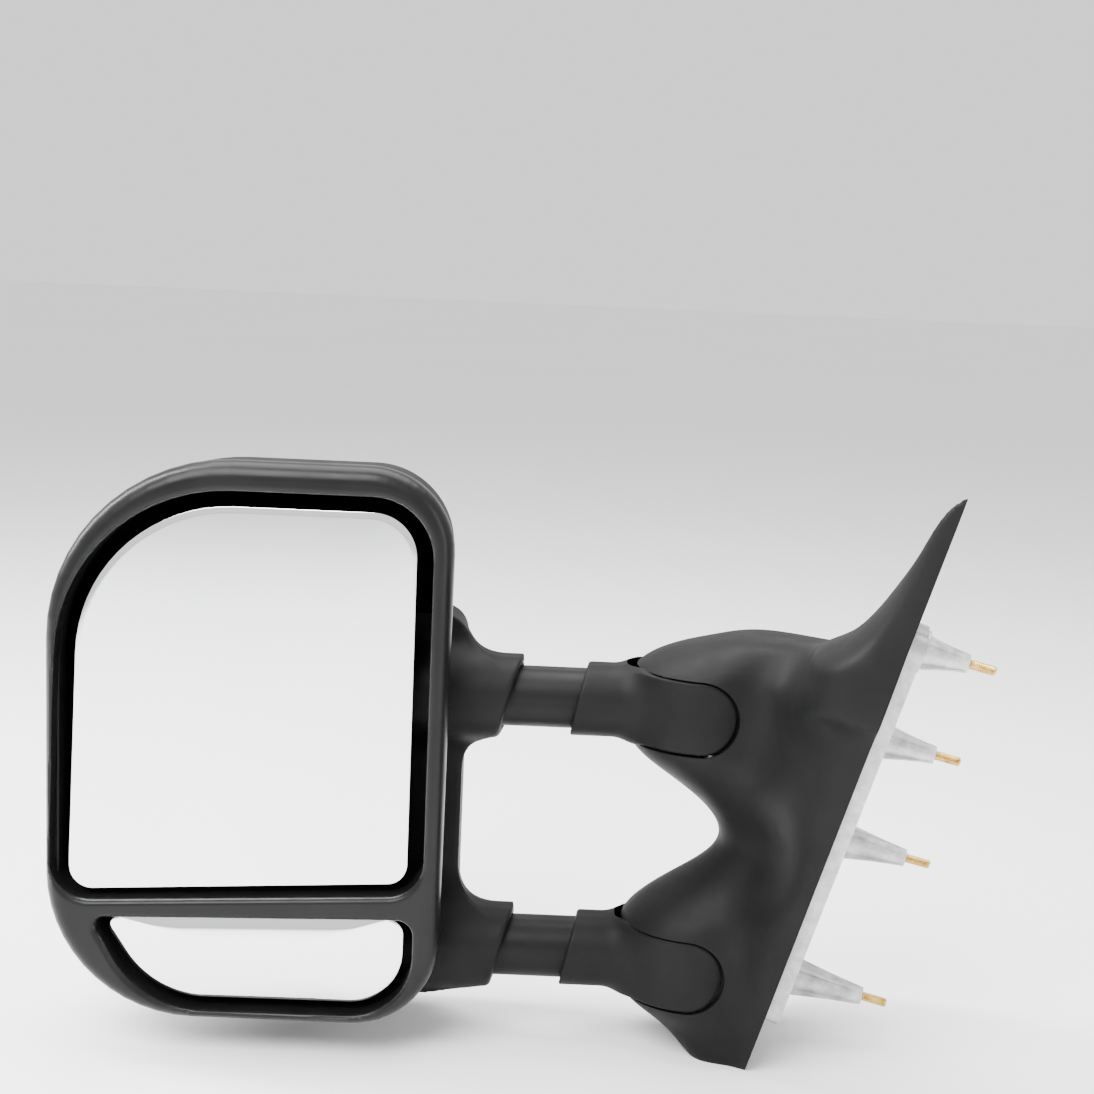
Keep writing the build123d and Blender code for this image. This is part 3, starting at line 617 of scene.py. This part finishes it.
def door_x(y, z, stand_off=0.0):
    """X of the door's plane, or of a plane beside it."""
    return (stand_off - y * INWARD[1] - z * INWARD[2]) / INWARD[0]


def rear_y(z):
    """Y of the cover's rear edge."""
    return -94 - 0.307 * z


def cover_stations():
    """Five points of each horizontal section: rear edge, arc's rear end, nose, arc's front end, front edge."""
    rows = []
    for z, front_y, nose_x, nose_y, radius in BODY:
        cx, ease = nose_x + radius, TROUGH_EASE * max(0.0, 1 - (z / 56.0) ** 2)
        rear, front = [(cx - radius * cos(radians(a - ease)), nose_y + s * radius * sin(radians(a - ease)))
                       for a, s in ((REAR_ANGLE, -1), (FRONT_ANGLE, 1))]
        rows.append((z, [(door_x(rear_y(z), z, COVER_EDGE), rear_y(z)), rear, (nose_x, nose_y), front,
                         (door_x(front_y, z, COVER_EDGE), front_y)]))
    for z, front_y, thick in SAIL:
        start = (door_x(rear_y(z), z, COVER_EDGE), rear_y(z))
        end = (door_x(front_y, z, COVER_EDGE), front_y)
        reach = 0.15 * (front_y - rear_y(z))
        shape = (start[1] + reach, 0.75), ((start[1] + end[1]) / 2, 1.0), (end[1] - reach, 0.75)
        middle = [(door_x(y, z, COVER_EDGE) - part * thick, y) for y, part in shape]
        rows.append((z, [start, *middle, end]))
    return rows


def circle_through(a, b, c):
    """The centre of the circle through three points."""
    ax, ay, bx, by, cx, cy = *a, *b, *c
    d = 2 * (ax * (by - cy) + bx * (cy - ay) + cx * (ay - by))
    a2, b2, c2 = ax ** 2 + ay ** 2, bx ** 2 + by ** 2, cx ** 2 + cy ** 2
    return np.array([a2 * (by - cy) + b2 * (cy - ay) + c2 * (ay - by),
                     a2 * (cx - bx) + b2 * (ax - cx) + c2 * (bx - ax)]) / d


def bezier(p, q, r, s, steps):
    t = np.linspace(0, 1, steps)[:, None]
    return (1 - t) ** 3 * p + 3 * t * (1 - t) ** 2 * q + 3 * t * t * (1 - t) * r + t ** 3 * s


def section_curve(control, flank=12, arc=28):
    """The section's outer line: a flank that leaves the nose's arc smoothly, the arc, and the other flank."""
    a, r, n, f, e = [np.array(p, float) for p in control]
    centre = circle_through(r, n, f)
    radius = np.linalg.norm(n - centre)
    start, end = [np.arctan2(*(p - centre)[::-1]) for p in (r, f)]
    middle = np.arctan2(*(n - centre)[::-1])
    start = middle + (start - middle) % (2 * pi)
    end = middle - (middle - end) % (2 * pi)
    turns = np.linspace(start, end, arc)
    nose = centre + radius * np.stack([np.cos(turns), np.sin(turns)], axis=1)
    rear_way = np.array([-sin(turns[0]), cos(turns[0])])
    front_way = -np.array([-sin(turns[-1]), cos(turns[-1])])
    rear_reach, front_reach = np.linalg.norm(a - r), np.linalg.norm(e - f)
    door = np.array([-INWARD[0], -INWARD[1]]) / np.hypot(INWARD[0], INWARD[1])
    rear_flank = bezier(a, a + 0.30 * rear_reach * door, r + 0.30 * rear_reach * rear_way, r, flank)
    front_flank = bezier(f, f + 0.30 * front_reach * front_way, e + 0.30 * front_reach * door, e, flank)
    return np.concatenate([rear_flank[:-1], nose, front_flank[1:]])


def stack_sections(stations, grid, spill=14.0):
    """Distance to a stack of horizontal sections, each run on a little past the door's side."""
    heights = np.array([z for z, _ in stations], float)
    control = np.array([c for _, c in stations], float)
    x, y, z = grid
    field = np.empty(x.shape)
    for k, level in enumerate(z[0, 0]):
        at = np.array([np.clip(level, heights[0], heights[-1])])
        points = [(smooth_line(heights, control[:, p, 0], at)[0], smooth_line(heights, control[:, p, 1], at)[0])
                  for p in range(5)]
        curve = section_curve(points)
        past = spill * INWARD[:2] / np.hypot(*INWARD[:2])
        closed = np.concatenate([curve, [curve[-1] + past, curve[0] + past]])
        beyond = max(heights[0] - level, level - heights[-1])
        field[:, :, k] = np.maximum(outline_distance(x[:, :, k], y[:, :, k], closed), beyond)
    return field


def blur(field, passes):
    """Softens a field with repeated five-point averages along each axis."""
    for _ in range(passes):
        for axis in range(3):
            n = field.shape[axis]
            ends = [field.take([0], axis)] * 2, [field.take([-1], axis)] * 2
            padded = np.concatenate([*ends[0], field, *ends[1]], axis)
            field = sum(w * padded.take(range(i, i + n), axis) for i, w in enumerate((1, 4, 6, 4, 1))) / 16
    return field


def build_cover():
    """Base cover: body and sail run smoothly into one another, hollow, with the slots the knuckles fill."""
    step = 2.3
    grid = grid_between((-148, -196, -156), (70, 104, 264), step)
    stations = cover_stations()
    body = blur(stack_sections(stations[:len(BODY)], grid), 8)
    sail = stack_sections([(104, stations[len(BODY)][1])] + stations[len(BODY):], grid)
    outside = blur(blend_union(body, sail, 26.0), 3)
    slope = blur(np.sqrt(sum(g ** 2 for g in np.gradient(outside, step))), 2)
    cover = raw_solid(*surface_net(grid, outside, step))
    cover.name = "base_cover_skin"
    forward = np.array([sin(radians(YAW)), cos(radians(YAW)), 0])
    upward = np.cross(INWARD, forward)
    square = [(-400, -400), (400, -400), (400, 400), (-400, 400)]
    beyond_edge = prism(square, lambda u, v, w: u * forward + v * upward + w * INWARD, COVER_EDGE, 200)
    cutters = [raw_solid(*surface_net(grid, outside + WALL * np.maximum(slope, 1.0), step)),
               raw_solid(*beyond_edge)]
    for z0 in ARMS.values():
        for end_x, low, high in ((REAR_SLOT_X, -80, 0), (FRONT_SLOT_X, -0.01, 80)):
            outline = slot_outline(SLOT_GAP, end_x)
            cutters.append(raw_solid(*prism(outline, lambda u, v, w: (u, w, z0 + v), low, high)))
    cut(cover, cutters)
    finish_piece(cover, CHARCOAL, "base", ["base_cover"], 40)


def along_stud(stud, u, v, w):
    """A point beside a stud's axis: u and v across it, w out from the door."""
    y, z, _ = stud
    root = np.array([door_x(y, z), y, z])
    side = np.cross(STUD_DIR, (0, 0, 1))
    side /= np.linalg.norm(side)
    up = np.cross(side, STUD_DIR)
    return tuple(root + u * side + v * up + w * STUD_DIR)


def build_studs():
    """Four M6 studs with a real helical thread over their whole length and a chamfered tip."""
    points, faces = [], []
    turns, pitch, depth = 40, 1.0, 0.55
    for stud in STUDS:
        low, high = stud[2] - STUD_OUT - 12, stud[2]
        rows = int((high - low) / pitch * 8)
        start = len(points)
        for r in range(rows + 1):
            w = low + (high - low) * r / rows
            for c in range(turns):
                phase = (w / pitch + c / turns) % 1.0
                radius = STUD_R - depth * (1 - abs(2 * phase - 1))
                radius = min(radius, 2.1 + (high - w))
                angle = 2 * pi * c / turns
                points.append(along_stud(stud, radius * cos(angle), radius * sin(angle), w))
        faces += [tuple(start + i for i in f) for f in loft_faces(rows + 1, turns)]
        faces.append(tuple(start + c for c in range(turns))[::-1])
        faces.append(tuple(start + rows * turns + c for c in range(turns)))
    make_piece("threaded_studs", points, faces, ZINC, "base", ["mount_studs"], 60)


def build_boss_ribs():
    """Cast fins along each boss, thickest at the root."""
    points, faces = [], []
    for stud in STUDS:
        length = stud[2] - STUD_OUT
        for k in range(4):
            turn = pi / 4 + k * pi / 2
            start = len(points)
            for w, reach in ((1, 13.0), (0.55 * length, 8.6), (length - 1.5, 5.9)):
                for across, out in ((-1.3, 2), (1.3, 2), (0.8, reach), (-0.8, reach)):
                    points.append(along_stud(stud, out * cos(turn) - across * sin(turn),
                                             out * sin(turn) + across * cos(turn), w))
            faces += [tuple(start + i for i in f) for f in loft_faces(3, 4)]
            faces += [tuple(start + i for i in (3, 2, 1, 0)), tuple(start + i for i in (8, 9, 10, 11))]
    make_piece("boss_ribs", points, faces, CAST, "base")


# ------------------------------------------------------------------ carried-over CAD nodes
NODE_LOOKS = {"cast_aluminium": CAST, "plated_steel": STEEL, "coated_tube": TUBE_COAT, "inner_plastic": INNER,
              "white_acetal": ACETAL, "mirror_glass": MIRROR, "zinc_studs": ZINC, "black_plastic": CHARCOAL,
              "bezel_plastic": SATIN}


def dress_nodes():
    for entry in frame["record"]["subparts"]:
        node = frame["nodes"][entry["node"]]
        node.data.materials.clear()
        node.data.materials.append(NODE_LOOKS[entry["material_slot"]])


# ------------------------------------------------------------------ stage, light and camera
CAMERA_AT = (-0.195, -1.070, 0.335)
CAMERA_YAW, CAMERA_PITCH, CAMERA_ROLL = -0.161, 8.621, 2.5
LENS = 58.68


def build_camera():
    yaw, pitch, roll = (radians(a) for a in (CAMERA_YAW, CAMERA_PITCH, CAMERA_ROLL))
    back = Vector((sin(yaw) * cos(pitch), -cos(yaw) * cos(pitch), sin(pitch)))
    right = Vector((cos(yaw), sin(yaw), 0))
    up = back.cross(right)
    tilted_right = cos(roll) * right + sin(roll) * up
    tilted_up = back.cross(tilted_right)
    camera = bpy.data.objects.new("camera", bpy.data.cameras.new("camera"))
    camera.data.lens = LENS
    camera.data.sensor_width = 36
    camera.data.clip_end = 100
    turn = Matrix((tilted_right, tilted_up, back)).transposed().to_4x4()
    camera.matrix_world = Matrix.Translation(CAMERA_AT) @ turn
    bpy.context.scene.collection.objects.link(camera)
    bpy.context.scene.camera = camera


def add_light(name, at, aim, size, power):
    data = bpy.data.lights.new(name, "AREA")
    data.shape, data.size, data.size_y = "RECTANGLE", *size
    data.energy = power
    light = bpy.data.objects.new(name, data)
    light.location = at
    light.rotation_euler = (Vector(aim) - Vector(at)).to_track_quat("-Z", "Y").to_euler()
    bpy.context.scene.collection.objects.link(light)


def build_stage():
    floor_z = cad_box[0][2] - 0.0005
    reach = 30.0
    corners = [(-reach, -reach), (reach, -reach), (reach, reach), (-reach, reach)]
    mesh = bpy.data.meshes.new("floor")
    mesh.from_pydata([(x, y, floor_z) for x, y in corners], [], [(0, 1, 2, 3)])
    floor = bpy.data.objects.new("floor", mesh)
    bpy.context.scene.collection.objects.link(floor)
    material, tree, shader = new_material("studio_floor", Roughness=0.6, Specular_IOR_Level=0.2)
    tone = noise(tree, 0.7, 2.0).outputs["Fac"]
    tree.links.new(ramp(tree, tone, (0.90, 0.90, 0.90), (0.92, 0.92, 0.92)), shader.inputs["Base Color"])
    floor.data.materials.append(material)
    world = bpy.data.worlds.new("studio")
    world.use_nodes = True
    background = world.node_tree.nodes["Background"]
    background.inputs["Color"].default_value = (1, 1, 1, 1)
    background.inputs["Strength"].default_value = 1.25
    bpy.context.scene.world = world
    middle = (-0.25, 0, 0.05)
    add_light("key_softbox", (-0.9, -1.3, 1.6), middle, (1.2, 1.2), 95)
    add_light("top_softbox", (-0.2, 0.3, 1.6), middle, (1.6, 1.2), 60)
    add_light("side_strip", (1.3, -0.9, 0.5), middle, (0.4, 1.4), 14)
    add_light("rim_strip", (-1.5, 0.25, 1.1), (-0.4, -0.05, 0.1), (0.25, 1.6), 70)


dress_nodes()
build_head_shell()
build_bezel()
build_recess()
build_glasses()
build_wing()
for arm, z in ARMS.items():
    build_sleeve(arm, z)
build_cover()
build_studs()
build_boss_ribs()
build_camera()
build_stage()
